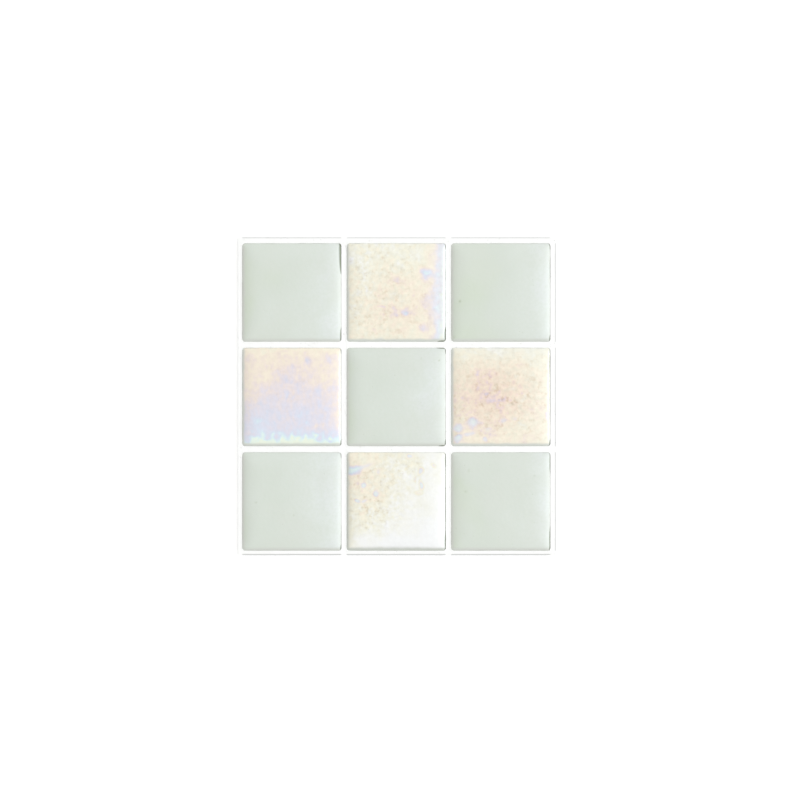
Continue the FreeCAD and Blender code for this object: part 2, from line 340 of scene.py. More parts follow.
@dataclass(frozen=True)
class LustreGlass:
    """Iridescent glass: a clear metal oxide film whose thickness sets the colour that it shows."""

    amber: Colour = screen(249, 240, 239)
    speck: Colour = screen(234, 227, 219)
    haze: Colour = screen(244, 247, 241)
    roughness: float = 0.2

    def stops(self) -> list[tuple[float, Colour]]:
        """Gives the film's colours in order of its thickness, from nearly none to the thickest."""
        return [
            (0.00, screen(249, 250, 252)),
            (0.08, screen(248, 248, 244)),
            (0.16, screen(245, 244, 233)),
            (0.26, screen(243, 240, 222)),
            (0.35, screen(248, 241, 223)),
            (0.43, screen(248, 238, 220)),
            (0.50, screen(244, 232, 221)),
            (0.56, screen(240, 228, 226)),
            (0.62, screen(233, 226, 232)),
            (0.68, screen(228, 225, 237)),
            (0.75, screen(223, 226, 241)),
            (0.82, screen(219, 231, 246)),
            (0.89, screen(223, 242, 245)),
            (0.94, screen(232, 247, 239)),
            (1.00, screen(241, 247, 229)),
        ]

    def make(self) -> bpy.types.Material:
        """Makes the material."""
        recipe = Recipe("lustre_glass_film")
        grit = recipe.value("grit")
        fine, broad = recipe.cloud(1.25 * MM, 2), recipe.cloud(3.0 * MM, 3)
        uneven = recipe.maths("ADD", recipe.maths("MULTIPLY", fine, 0.64), recipe.maths("MULTIPLY_ADD", broad, 0.52, -0.58))
        rings = recipe.span(recipe.cells(1.2 * MM), 0.20, 0.6, 0.06, -0.04)
        swing = recipe.maths("MULTIPLY_ADD", grit, 0.84, 0.11)
        shift = recipe.maths("MULTIPLY", recipe.maths("ADD", uneven, rings), swing)
        drawn = recipe.add("ShaderNodeVectorMath", {0: recipe.place, 1: (1.0, 0.45, 1.0)}, operation="MULTIPLY").outputs[0]
        streaks = recipe.maths("MULTIPLY_ADD", recipe.cloud(1.1 * MM, 2, drawn), 0.40, -0.20)
        thickness = recipe.value("film")
        wet = recipe.maths("MULTIPLY", recipe.maths("MULTIPLY", thickness, thickness), recipe.maths("MULTIPLY_ADD", thickness, -5.5, 5.5))
        poured = recipe.maths("MULTIPLY", wet, recipe.maths("SUBTRACT", 1.0, grit))
        shift = recipe.maths("ADD", shift, recipe.maths("MULTIPLY", streaks, poured))
        film = recipe.maths("ADD", thickness, shift, clamp=True)
        colour = recipe.scale(film, self.stops())
        colour = recipe.blend(recipe.value("haze"), colour, self.haze)
        # Amber stains, and on one tile a strip of painted shade along the right edge.
        colour = recipe.blend(recipe.value("stain_and_shade"), colour, self.amber, "MULTIPLY")
        aside = recipe.add("ShaderNodeVectorMath", {0: recipe.place, 1: (0.07, 0.02, 0.0)}).outputs[0]
        specks = recipe.maths("MULTIPLY", recipe.span(recipe.cloud(1.3 * MM, 3, aside), 0.52, 0.76), grit)
        colour = recipe.blend(specks, colour, self.speck, "MULTIPLY")
        rough = recipe.maths("SUBTRACT", recipe.cloud(1.1 * MM, 4), 0.5)
        tone = recipe.maths("MULTIPLY_ADD", rough, recipe.maths("MULTIPLY_ADD", grit, 0.30, 0.09), 1.0)
        colour = recipe.blend(1.0, colour, tone, "MULTIPLY")
        # Painted shade: a little darker where milk_and_painted_light is low, at the left of the face.
        clear_and_shaded = recipe.maths("SUBTRACT", 1.0, recipe.value("milk_and_painted_light"))
        colour = recipe.blend(clear_and_shaded, colour, screen(251.5, 251.5, 251), "MULTIPLY")
        colour = BareGlass().colour(recipe, colour)
        normal = recipe.bump(recipe.cloud(0.9 * MM, 2), 0.030 * MM)
        normal = recipe.bump(specks, -0.02 * MM, normal)
        shader = recipe.add("ShaderNodeBsdfPrincipled", {
            "Base Color": colour, "Roughness": self.roughness, "IOR": 1.6, "Normal": normal,
        })
        return recipe.finish(shader.outputs[0])


@dataclass(frozen=True)
class WhiteFiller:
    """White joint filler: cement with fine sand, chalky and faintly mottled, with painted shade at the sheet's outer
    edge and in its pits.
    """

    white: Colour = (0.985, 0.985, 0.98, 1.0)
    shade: Colour = (0.96, 0.96, 0.95, 1.0)
    # Painted shade: the grey of the line along the sheet's outer edge, and of its outer wall and underside.
    cut: Colour = screen(192, 193, 192)

    def make(self) -> bpy.types.Material:
        """Makes the material."""
        recipe = Recipe("joint_filler_white")
        cloud = recipe.span(recipe.cloud(4 * MM, 3), 0.4, 0.8)
        sand = recipe.cloud(0.25 * MM, 3)
        colour = recipe.blend(cloud, self.white, self.shade)
        # Pits, bumped lower and painted darker: painted shade in the pits.
        holes = recipe.span(recipe.cells(1.1 * MM), 0.12, 0.05)
        colour = recipe.blend(recipe.maths("MULTIPLY", holes, 0.4), colour, screen(225, 225, 220))
        # Painted shade at the sheet's outer edge, wall and underside.
        colour = recipe.blend(recipe.value("cut"), colour, self.cut)
        normal = recipe.bump(sand, 0.05 * MM)
        normal = recipe.bump(holes, -0.08 * MM, normal)
        shader = recipe.add("ShaderNodeBsdfPrincipled", {
            "Base Color": colour, "Roughness": 0.85, "Specular IOR Level": 0.3, "Normal": normal,
        })
        return recipe.finish(shader.outputs[0])


@dataclass(frozen=True)
class NetFibre:
    """Bundled glass yarn, stiffened with resin: off-white with fine threads along each strand, and painted shade in the
    grooves between them.
    """

    yarn: Colour = screen(240, 240, 236)
    # Painted shade: the darker colour in the grooves between the threads.
    thread_groove_shade: Colour = screen(205, 206, 200)

    def make(self) -> bpy.types.Material:
        """Makes the material."""
        recipe = Recipe("net_fibre_yarn")
        thread = recipe.value("thread")
        turns = recipe.value("turns")
        twist = recipe.maths("ADD", recipe.maths("MULTIPLY", thread, 9.0), turns)
        wave = recipe.maths("SINE", recipe.maths("MULTIPLY", twist, 2 * math.pi))
        fine = recipe.span(wave, -1.0, 0.6)
        fuzz = recipe.cloud(0.4 * MM, 3)
        colour = recipe.blend(recipe.maths("MULTIPLY", fine, recipe.span(fuzz, 0.2, 0.7, 0.6, 1.0)), self.thread_groove_shade, self.yarn)
        normal = recipe.bump(fine, 0.03 * MM)
        shader = recipe.add("ShaderNodeBsdfPrincipled", {
            "Base Color": colour, "Roughness": 0.55, "IOR": 1.5, "Normal": normal,
        })
        return recipe.finish(shader.outputs[0])


@dataclass(frozen=True)
class StudioPaper:
    """The white paper that the sheet lies on, which the camera sees as pure white outside the shadow."""

    white: Colour = (0.86, 0.86, 0.86, 1.0)
    lift: float = 0.54

    def make(self) -> bpy.types.Material:
        """Makes the material: chalky white, with a little more light for rays from the camera and mirrors."""
        recipe = Recipe("studio_paper")
        grain = recipe.span(recipe.cloud(2 * MM, 2), 0.0, 1.0, 0.985, 1.0)
        colour = recipe.blend(1.0, self.white, grain, "MULTIPLY")
        chalk = recipe.add("ShaderNodeBsdfDiffuse", {"Color": colour}).outputs[0]
        path = recipe.add("ShaderNodeLightPath")
        seen = recipe.maths("MAXIMUM", path.outputs["Is Camera Ray"], path.outputs["Is Glossy Ray"])
        seen = recipe.maths("MAXIMUM", seen, path.outputs["Is Transmission Ray"])
        strength = recipe.maths("MULTIPLY", seen, self.lift)
        glow = recipe.add("ShaderNodeEmission", {"Strength": strength}).outputs[0]
        return recipe.finish(recipe.add("ShaderNodeAddShader", {0: chalk, 1: glow}).outputs[0])


class Edge(Enum):
    """A tile's sides as the photograph shows them, with the way out across each."""

    LEFT = (-1, 0)
    RIGHT = (1, 0)
    TOP = (0, 1)
    BOTTOM = (0, -1)


# How far the face's colour stops short of each side: partly where the film ends, and partly painted shade, wider at the
# left and the bottom, which face away from the lamp.
FILM_AND_SHADE_MARGINS = {Edge.LEFT: 0.60 * MM, Edge.RIGHT: 0.26 * MM, Edge.TOP: 0.05 * MM, Edge.BOTTOM: 0.75 * MM}
# Strength of the painted shade line at the sheet's outer edge on each side: strong at the bottom, right and top, and
# faint at the left, where the floor's own shadow already darkens it.
EDGE_SHADES = {Edge.LEFT: 0.06, Edge.RIGHT: 0.60, Edge.TOP: 0.48, Edge.BOTTOM: 0.80}
FLASHES = {Edge.LEFT: 0.10 * MM, Edge.RIGHT: 0.44 * MM, Edge.TOP: 0.42 * MM, Edge.BOTTOM: 0.01 * MM}


@dataclass(frozen=True)
class Blot:
    """A spot where the film, or the grit in it, differs: a bell of the given reach.

    Places and sizes are shares of the tile's side, from its left edge and from its top edge.
    """

    across: float
    down: float
    wide: float
    high: float
    lift: float
    turn: float = 0.0
    sharp: float = 1.0

    def at(self, u: np.ndarray, v: np.ndarray) -> np.ndarray:
        """Works out the bell: lift times exp(-((a/wide)^2 + (b/high)^2)^sharp), in axes turned by turn degrees."""
        angle = math.radians(self.turn)
        du, dv = u - self.across, v - self.down
        a = du * math.cos(angle) + dv * math.sin(angle)
        b = dv * math.cos(angle) - du * math.sin(angle)
        return self.lift * np.exp(-(((a / self.wide) ** 2 + (b / self.high) ** 2) ** self.sharp))


def bead(across: float, down: float, wide: float, high: float, lift: float, turn: float = 0.0) -> Blot:
    """Gives a blot that is nearly flat inside and falls off at its rim, as a drop of film dries."""
    return Blot(across, down, wide, high, lift, turn, 1.5)


@dataclass(frozen=True)
class Band:
    """A strip along one side where the film pools, with a scalloped border."""

    edge: Edge
    reach: float
    soft: float
    lift: float
    scallop: float = 0.02

    def at(self, u: np.ndarray, v: np.ndarray, ripple: np.ndarray) -> np.ndarray:
        """Works out the strip: it starts at its rippled border, reach in from the side, and is full soft further out."""
        out = {Edge.LEFT: u, Edge.RIGHT: 1 - u, Edge.TOP: v, Edge.BOTTOM: 1 - v}[self.edge]
        return self.lift * ease(self.reach + self.scallop * ripple - out, 0.0, self.soft)


@dataclass(frozen=True)
class Sliver:
    """A stretch of a tile's edge painted dark as shade, where the gap by the filler lies in shadow: its side, middle,
    half length and depth, as shares.
    """

    edge: Edge
    middle: float
    half: float
    depth: float
    strength: float = 1.0


@dataclass(frozen=True)
class Pour:
    """How one tile came out: the film's thickness at its corners, then bands, blots, grit, and slivers of painted
    shade.
    """

    corners: tuple[float, float, float, float] = (0.0, 0.0, 0.0, 0.0)
    swell: float = 0.03
    bands: tuple[Band, ...] = ()
    blots: tuple[Blot, ...] = ()
    grit: tuple[Blot, ...] = ()
    stain_and_shade: tuple[Blot, ...] = ()
    # Blots added to milk_and_painted_light. Some are the glass's own clouding. On the plain tiles, those along the top
    # and bottom are painted light through the white joints, and those along the left are painted shade.
    milk_and_light_blots: tuple[Blot, ...] = ()
    haze: tuple[Blot, ...] = ()
    bead_haze: float = 0.5
    slivers: tuple[Sliver, ...] = ()
    seed: int = 1

    def film(self, u: np.ndarray, v: np.ndarray) -> np.ndarray:
        """Works out the film's thickness, 0 to 1.

        Args:
            u: Share of the tile's side from its left edge.
            v: Share of the tile's side from its top edge.

        Returns:
            The corners' values carried bilinearly over the tile, plus slow ripples, bands and blots,
            all read at places that finer ripples shift, so that no border is straight.
        """
        u, v = (u + 0.007 * Ripples(0.15, self.seed + 1).at(u, v),
                v + 0.007 * Ripples(0.15, self.seed + 2).at(u, v))
        ease_u, ease_v = ease(u, 0.0, 1.0), ease(v, 0.0, 1.0)
        top_left, top_right, low_left, low_right = self.corners
        film = (top_left * (1 - ease_u) + top_right * ease_u) * (1 - ease_v)
        film = film + (low_left * (1 - ease_u) + low_right * ease_u) * ease_v
        film = film + self.swell * Ripples(0.35, self.seed + 3).at(u, v)
        scallop = Ripples(0.085, self.seed + 4).at(u, v)
        film = film + sum(band.at(u, v, scallop) for band in self.bands)
        film = film + sum(blot.at(u, v) for blot in self.blots)
        return np.clip(film, 0.0, 1.0)

    def milk_and_painted_light(self, u: np.ndarray, v: np.ndarray) -> np.ndarray:
        """Works out how milky the glass is, with painted light in it: clear and darker at the left, milky and lighter
        towards the right, where the lamp stands, with slow ripples and blots.
        """
        milk_and_painted_light = 0.2 * ease(u, -0.03, 0.14) + 0.8 * ease(u, 0.30, 1.03) + 0.05 * Ripples(0.5, self.seed + 5).at(u, v)
        return np.clip(milk_and_painted_light + sum(cloud.at(u, v) for cloud in self.milk_and_light_blots), 0.0, 1.0)

    def grain(self, u: np.ndarray, v: np.ndarray) -> np.ndarray:
        """Works out the grit, 0 to 1: its blots' sum, smoothed away where beads of film lie."""
        return self.spread(self.grit, u, v) * (1 - self.spread(self.beads(0.85), u, v))

    def hazed(self, u: np.ndarray, v: np.ndarray) -> np.ndarray:
        """Works out how far the film is hazed over, 0 to 1: in its beads, and in blots of the haze's own."""
        return self.spread(self.beads(self.bead_haze) + self.haze, u, v)

    def beads(self, lift: float) -> tuple[Blot, ...]:
        """Gives the beads among the film's blots, all with one lift."""
        return tuple(replace(blot, lift=lift) for blot in self.blots if blot.sharp > 1)

    @staticmethod
    def spread(blots: tuple[Blot, ...], u: np.ndarray, v: np.ndarray) -> np.ndarray:
        """Adds up some blots, 0 to 1."""
        return np.clip(sum((blot.at(u, v) for blot in blots), np.zeros_like(u)), 0.0, 1.0)

    def painted_gap_shade(self, u: np.ndarray, v: np.ndarray) -> np.ndarray:
        """Works out the painted shade, 0 to 1. Dark glass is painted in a thin line just inside the right edge, along
        the foot, and in the slivers, where the edges and the gaps by the filler lie in shade.
        """
        # Painted shade: a thin dark line just inside the right edge, and along the foot.
        bare_glass_shade = np.maximum(0.11 * ease(u, 0.965, 0.985) * (1 - ease(u, 0.990, 0.997)), 0.10 * ease(v, 0.955, 0.985))
        for shade_sliver in self.slivers:
            along = v if shade_sliver.edge in (Edge.LEFT, Edge.RIGHT) else u
            out = {Edge.LEFT: u, Edge.RIGHT: 1 - u, Edge.TOP: v, Edge.BOTTOM: 1 - v}[shade_sliver.edge]
            depth = shade_sliver.depth * np.sqrt(np.clip(1 - ((along - shade_sliver.middle) / shade_sliver.half) ** 2, 0, 1))
            near = shade_sliver.strength * (1 - ease(out, 0.45 * depth, depth + 1e-9))
            bare_glass_shade = np.maximum(bare_glass_shade, near)
        return bare_glass_shade


@dataclass
class PressedTile:
    """One pressed glass tile: pillowed face, upright edge down to the arris, bevelled and ribbed back."""

    node: str
    slot: str
    pour: Pour
    corner_round: float = 0.8 * MM
    squat: float = 0.992
    shoulder_width: float = 5.0 * MM
    shoulder_drop: float = 0.95 * MM
    shoulder_power: float = 2.4
    crown: float = 0.05 * MM
    waviness: float = 0.006 * MM
    arris_drop: float = 2.0 * MM
    back_share: float = 11.735 / 12.45
    groove_width: float = 1.5 * MM
    groove_depth: float = 0.5 * MM
    groove_spacing: float = 3.2 * MM
    groove_count: int = 7
    face_steps: int = 43
    shoulder_steps: int = 22

    def __post_init__(self) -> None:
        """Takes the tile's place and size from its CAD node."""
        low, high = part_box(self.node)
        self.centre = ((low.x + high.x) / 2, (low.y + high.y) / 2)
        self.half = (high.x - low.x) / 2
        self.base, self.top = low.z, high.z
        self.levels = self.ring_levels()

    def ring_levels(self) -> np.ndarray:
        """Gives the half sides of the grid's rings.

        Returns:
            Equal steps over the face, then steps that end at the outline, closer and closer: with
            angle p from 0 to 90 degrees, the distance in is shoulder width (1 - sin(p) ** (2 / power)).
        """
        turn = np.linspace(0, math.pi / 2, self.shoulder_steps + 1)[1:]
        shoulder = self.half - self.shoulder_width * (1 - np.sin(turn) ** (2 / self.shoulder_power))
        face = np.linspace(0, self.half - self.shoulder_width, self.face_steps + 1)
        return np.concatenate([face, shoulder])

    def plan(self) -> tuple[np.ndarray, np.ndarray]:
        """Spreads a square grid over the tile's outline.

        Returns:
            X and Y about the tile's centre. A point keeps its column's X and its row's Y, except in
            the corners, where ring r becomes an arc of radius r about the corner's centre and the
            point's share of the way round the ring becomes its share of 90 degrees.
        """
        last = len(self.levels) - 1
        bend = int(np.abs(self.levels - (self.half - self.corner_round)).argmin())
        steps = np.arange(-last, last + 1)
        level = np.sign(steps) * self.levels[np.abs(steps)]
        i, j = np.meshgrid(steps, steps, indexing="ij")
        a, b = np.abs(i) - bend, np.abs(j) - bend
        ring = np.maximum(np.maximum(a, b), 1)
        corner = (a > 0) & (b > 0)
        walk = np.where(a >= b, b, 2 * ring - a) / (2 * ring) * (math.pi / 2)
        radius = self.levels[np.minimum(bend + ring, last)] - self.levels[bend]
        x = np.where(corner, np.sign(i) * (self.levels[bend] + radius * np.cos(walk)), level[i + last])
        y = np.where(corner, np.sign(j) * (self.levels[bend] + radius * np.sin(walk)), level[j + last])
        return x, y

    def inset(self, x: np.ndarray, y: np.ndarray) -> np.ndarray:
        """Gives the distance in from the outline: to the nearest side, or to the arc of a corner."""
        bend = self.half - self.levels[int(np.abs(self.levels - (self.half - self.corner_round)).argmin())]
        dx, dy = self.half - np.abs(x), self.half - np.abs(y)
        arc = bend - np.hypot(bend - dx, bend - dy)
        return np.clip(np.where((dx < bend) & (dy < bend), arc, np.minimum(dx, dy)), 0, None)

    def face_height(self, x: np.ndarray, y: np.ndarray) -> np.ndarray:
        """Works out the face.

        Args:
            x: Places along X about the tile's centre.
            y: Places along Y about the tile's centre.

        Returns:
            The top, less the crown's fall, crown (1 - (1 - (x/h)^2) (1 - (y/h)^2)), less the
            shoulder's, drop (1 - (1 - s^n)^(1/n)) with s from 0 at the shoulder's start to 1 at the
            outline, less the pits, plus slow ripples. Further in, s turns to the fifth root of
            sx^5 + sy^5, its shares along X and Y, so that the shoulder goes round the corners
            without a mitre.
        """
        edge = self.inset(x, y)
        width, power = self.shoulder_width, self.shoulder_power
        sx = np.clip(1 - (self.half - np.abs(x)) / width, 0, 1)
        sy = np.clip(1 - (self.half - np.abs(y)) / width, 0, 1)
        outer, inner = 1 - edge / width, (sx**5 + sy**5) ** 0.2
        s = np.clip(outer + (inner - outer) * (1 - np.exp(-edge / (0.8 * MM))), 0, 1)
        shoulder = self.shoulder_drop * (1 - (1 - s**power) ** (1 / power))
        crown = self.crown * (1 - (1 - (x / self.half) ** 2) * (1 - (y / self.half) ** 2))
        slow = self.waviness * Ripples(6 * MM, self.pour.seed + 20).at(x, y) * ease(edge, 0, 2 * MM)
        quick = 0.3 * self.waviness * Ripples(1.3 * MM, self.pour.seed + 21, 40).at(x, y) * ease(edge, 0, 2 * MM)
        u, v = self.shares(x, y)
        pits = 0.02 * MM * self.pour.grain(u, v) * (self.slot == "sage_glass")
        return self.top - 0.012 * MM - crown - shoulder + slow + quick - pits

    def shares(self, x: np.ndarray, y: np.ndarray) -> tuple[np.ndarray, np.ndarray]:
        """Gives each place as shares of the side from the left and from the top."""
        return 0.5 + x / (2 * self.half), 0.5 - y / (2 * self.half)

    def back_height(self, y: np.ndarray) -> np.ndarray:
        """Works out the ribbed back: each groove is eased from its mouth to its floor and up again."""
        middle = (np.arange(self.groove_count) - (self.groove_count - 1) / 2) * self.groove_spacing
        away = np.abs(y[..., None] - middle).min(axis=-1)
        return self.base + self.groove_depth * (1 - ease(away, 0.28 * self.groove_width, 0.5 * self.groove_width))

    def worn(self, x: np.ndarray, y: np.ndarray) -> tuple[np.ndarray, np.ndarray]:
        """Draws the outline in by up to 0.05 mm, unevenly, as pressed edges are; the middle stays."""
        fade = np.exp(-self.inset(x, y) / (0.8 * MM))
        amount = 0.05 * MM * ease(Ripples(5 * MM, self.pour.seed + 30).at(x, y), -1.5, 2.0) * fade
        near_x = np.exp(-(self.half - np.abs(x)) / (0.6 * MM))
        near_y = np.exp(-(self.half - np.abs(y)) / (0.6 * MM))
        return x - np.sign(x) * amount * near_x, y - np.sign(y) * amount * near_y

    def build(self, material: bpy.types.Material) -> bpy.types.Object:
        """Builds the tile from its face, its sides and its back.

        Args:
            material: The glass.

        Returns:
            The tile, riding on the sheet in place of its CAD node.
        """
        x, y = self.plan()
        u, v = self.shares(x, y)
        flat_x, flat_y = self.worn(x, y)
        values = {
            "film": self.pour.film(u, v),
            "grit": self.pour.grain(u, v),
            "stain_and_shade": self.pour.spread(self.pour.stain_and_shade, u, v),
            "haze": self.pour.hazed(u, v),
            "bare_glass_shade": self.pour.painted_gap_shade(u, v),
            "face": self.covered(x, y),
            "milk_and_painted_light": self.pour.milk_and_painted_light(u, v),
        }
        shell = Shell()
        face = np.stack([flat_x, flat_y, self.face_height(x, y)], axis=-1)
        shell.add_grid(self.placed(face), **values)

        drops = np.array([0, 0.35, 0.85, 0.97, 1.03, 1.2, 1.5, 1.8, 1.9, 1.96, 1.99, 2.0])
        back = np.stack([flat_x, flat_y, self.back_height(y)], axis=-1)
        ring = self.around(face)
        foot = self.around(back)
        tilt = np.clip(drops - 1, 0, 1)
        share = 1 + (self.back_share - 1) * tilt
        share[drops > 1.9] -= 0.006 * np.array([0.25, 0.6, 1.0])
        arris = self.base + (self.top - self.base) - self.arris_drop
        upper = ring[:, None, 2] + (arris - ring[:, None, 2]) * np.clip(drops, 0, 1)
        height = upper + (foot[:, None, 2] - upper) * tilt
        sides = np.concatenate([ring[:, None, :2] * share[:, None], height[..., None]], axis=-1)
        # The sides and back: no film, and a little painted shade.
        bare_glass_shade = {"film": 0.1, "grit": 0.0, "stain_and_shade": 0.0, "haze": 0.0, "bare_glass_shade": 0.15, "face": 0.0, "milk_and_painted_light": 0.5}
        shell.add_grid(self.placed(sides), turned=True, **bare_glass_shade)

        back[..., :2] *= share[-1]
        shell.add_grid(self.placed(back), turned=True, **bare_glass_shade)
        piece = shell.build(f"{self.node}_glass", material)
        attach(piece, "root")
        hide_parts(self.node)
        return piece

    def covered(self, x: np.ndarray, y: np.ndarray) -> np.ndarray:
        """Works out how far the face's own colour covers each point, 0 to 1.

        Args:
            x: Places along X about the tile's centre.
            y: Places along Y about the tile's centre.

        Returns:
            1 inside, eased to 0 within 0.35 mm of a rippled border that lies FILM_AND_SHADE_MARGINS in from the sides:
            widest at the bottom and the left. This is partly the film's border and partly painted shade on the sides
            that face away from the lamp.
        """
        ripple = 0.06 * MM * Ripples(3.5 * MM, self.pour.seed + 40).at(x, y)
        share = np.ones_like(x)
        for edge, margin in FILM_AND_SHADE_MARGINS.items():
            inside = self.half - x * edge.value[0] - y * edge.value[1]
            share = share * ease(inside - margin + ripple, -0.35 * MM, 0.35 * MM)
        return share

    def placed(self, points: np.ndarray) -> np.ndarray:
        """Moves points from the tile's centre to its place, a little less high than wide as the press left it."""
        return points * np.array([1.0, self.squat, 1.0]) + np.array([*self.centre, 0.0])

    @staticmethod
    def around(grid: np.ndarray) -> np.ndarray:
        """Walks round a grid's border, anticlockwise from above, and ends where it began."""
        return np.concatenate([grid[-1, :-1], grid[:0:-1, -1], grid[0, :0:-1], grid[:-1, 0], grid[-1:, 0]])


@dataclass
class JointFiller:
    """The white filler: a lattice with hollowed joints that keys every tile by its bevel."""

    node: str = "grout_grid"
    tile_half: float = 12.45 * MM
    tile_corner: float = 0.8 * MM
    squat: float = 0.992
    tuck: float = 0.05 * MM
    meet: float = 0.72 * MM
    hollow: float = 0.04 * MM
    back_share: float = 11.735 / 12.45
    arris_drop: float = 2.0 * MM
    straight_steps: int = 52
    corner_steps: int = 6

    def outline(self, reach: tuple[float, float, float, float] | None = None) -> np.ndarray:
        """Walks round a tile's hole, or round its share of the lattice.

        Args:
            reach: Distances from the tile's centre to the share's right, top, left and bottom
                borders, or None for the hole.

        Returns:
            Points, anticlockwise, that end where they began. Each side has the same steps in both
            outlines: half a corner, the straight, and half a corner. The hole's corners are arcs
            and the share's are square.
        """
        bend = self.tile_half - self.tile_corner
        radius = self.tile_corner - self.tuck
        straight = np.linspace(-bend, bend, self.straight_steps + 1)
        share = np.linspace(0, 1, self.corner_steps, endpoint=False)
        turn = share * math.pi / 4
        sides = []
        for side in range(4):
            if reach is None:
                low = np.stack([bend + radius * np.cos(math.pi / 4 - turn),
                                -bend - radius * np.sin(math.pi / 4 - turn)], axis=-1)
                high = low[::-1] * (1, -1)
                middle = np.stack([np.full_like(straight, bend + radius), straight], axis=-1)
            else:
                out, before, after = reach[side], reach[side - 1], reach[(side + 1) % 4]
                low = np.stack([np.full_like(share, out), -before + (before - bend) * share], axis=-1)
                high = np.stack([np.full_like(share, out), after - (after - bend) * share], axis=-1)[::-1]
                middle = np.stack([np.full_like(straight, out), straight], axis=-1)
            turned = np.concatenate([low, middle, high])
            angle = side * math.pi / 2
            wheel = np.array([[math.cos(angle), math.sin(angle)], [-math.sin(angle), math.cos(angle)]])
            sides.append((turned @ wheel)[:-1])
        return np.concatenate([*sides, sides[0][:1]])

    def top(self, points: np.ndarray, centre: np.ndarray, height: float) -> np.ndarray:
        """Works out the joint's face.

        Args:
            points: Places in plan about the tile's centre.
            centre: The tile's centre.
            height: The tiles' top.

        Returns:
            Highest where it meets the glass and hollow (1 - (1 - t)^2) lower across the joint, t
            being 1 at 0.6 mm from the glass; slow ripples, and an eased fall at the sheet's edge.
        """
        bend = self.tile_half - self.tile_corner
        past = np.clip(np.abs(points) - bend, 0, None)
        away = np.clip(np.hypot(past[..., 0], past[..., 1]) - self.tile_corner, 0, None)
        t = np.clip(away / (0.6 * MM), 0, 1)
        x, y = points[..., 0] + centre[0], points[..., 1] + centre[1]
        ripple = 0.012 * MM * Ripples(3.5 * MM, 70).at(x, y) + 0.005 * MM * Ripples(0.9 * MM, 71, 30).at(x, y)
        rim = np.maximum.reduce([x * edge.value[0] + y * edge.value[1] - end for edge, end in self.ends.items()])
        fall = 0.02 * MM * ease(rim, -0.25 * MM, 0.0)
        return height - self.meet - self.hollow * (1 - (1 - t) ** 2) + ripple - fall

    def edge_shade_line(self, plan: np.ndarray, centre: np.ndarray) -> np.ndarray:
        """Works out the painted shade line at the sheet's outer edge.

        Args:
            plan: Places in plan about the tile's centre.
            centre: The tile's centre.

        Returns:
            0 to 1: EDGE_SHADES' value within 0.3 mm of the sheet's edge, and only beside the tile, so that the line
                    breaks at the joints.
        """
        places = plan + centre
        shares = np.zeros(plan.shape[:-1])
        for edge, strength in EDGE_SHADES.items():
            beyond = places @ np.array(edge.value) - self.ends[edge]
            along = np.abs(plan @ np.array(edge.value[::-1]))
            beside = 1 - ease(along, self.tile_half - 0.3 * MM, self.tile_half + 0.1 * MM)
            shares = np.maximum(shares, strength * beside * ease(beyond, -0.40 * MM, -0.26 * MM))
        return shares

    def build(self, tiles: list[PressedTile], material: bpy.types.Material) -> bpy.types.Object:
        """Builds the lattice, one tile's share of it at a time; shared borders weld.

        Args:
            tiles: The tiles that it holds.
            material: The filler.

        Returns:
            The lattice, riding on the sheet in place of its CAD node.
        """
        low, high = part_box(self.node)
        self.ends = {edge: high.x * abs(edge.value[0]) + high.y * abs(edge.value[1]) + flash for edge, flash in FLASHES.items()}
        pitch = min(abs(a.centre[0] - b.centre[0]) for a in tiles for b in tiles if abs(a.centre[0] - b.centre[0]) > MM)
        shell = Shell()
        across = np.array([0, 0.06, 0.15, 0.28, 0.45, 0.62, 0.74, 0.82, 0.90, 0.96, 1.0])[:, None, None]
        hole = self.outline() * (1.0, self.squat)
        for tile in tiles:
            centre = np.array(tile.centre)
            reach = self.reach(centre, pitch)
            border = self.outline(reach)
            plan = hole + (border - hole) * across
            height = self.top(plan, centre, tile.top)
            shell.add_grid(self.raised(plan, height, centre), cut=self.edge_shade_line(plan, centre))
            foot_hole = hole * self.back_share
            foot = foot_hole + (border - foot_hole) * np.array([0, 0.3, 0.65, 1.0])[:, None, None]
            # Painted shade on the underside.
            shell.add_grid(self.raised(foot, np.full(foot.shape[:2], low.z), centre), turned=True, cut=0.3)
            down = np.array([0, 0.5, 0.98, 1.02, 1.5, 2.0])
            arris = tile.top - self.arris_drop
            share = 1 + (self.back_share - 1) * np.clip(down - 1, 0, 1)
            wall = hole[None] * share[:, None, None]
            level = height[0] + (arris - height[0]) * np.clip(down, 0, 1)[:, None]
            level = level + (low.z - level) * np.clip(down - 1, 0, 1)[:, None]
            shell.add_grid(self.raised(wall, level, centre), turned=True, cut=0.0)
            self.add_rim(shell, border, height[-1], low.z, centre, reach, pitch)
        piece = shell.build("joint_filler", material)
        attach(piece, "root")
        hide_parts(self.node)
        return piece

    def reach(self, centre: np.ndarray, pitch: float) -> tuple[float, float, float, float]:
        """Gives how far a tile's share goes right, up, left and down: half a pitch, or to the sheet's edge."""
        sides = (Edge.RIGHT, Edge.TOP, Edge.LEFT, Edge.BOTTOM)
        ends = [self.ends[side] - centre[0] * side.value[0] - centre[1] * side.value[1] for side in sides]
        return tuple(float(end) if end < 0.75 * pitch else pitch / 2 for end in ends)

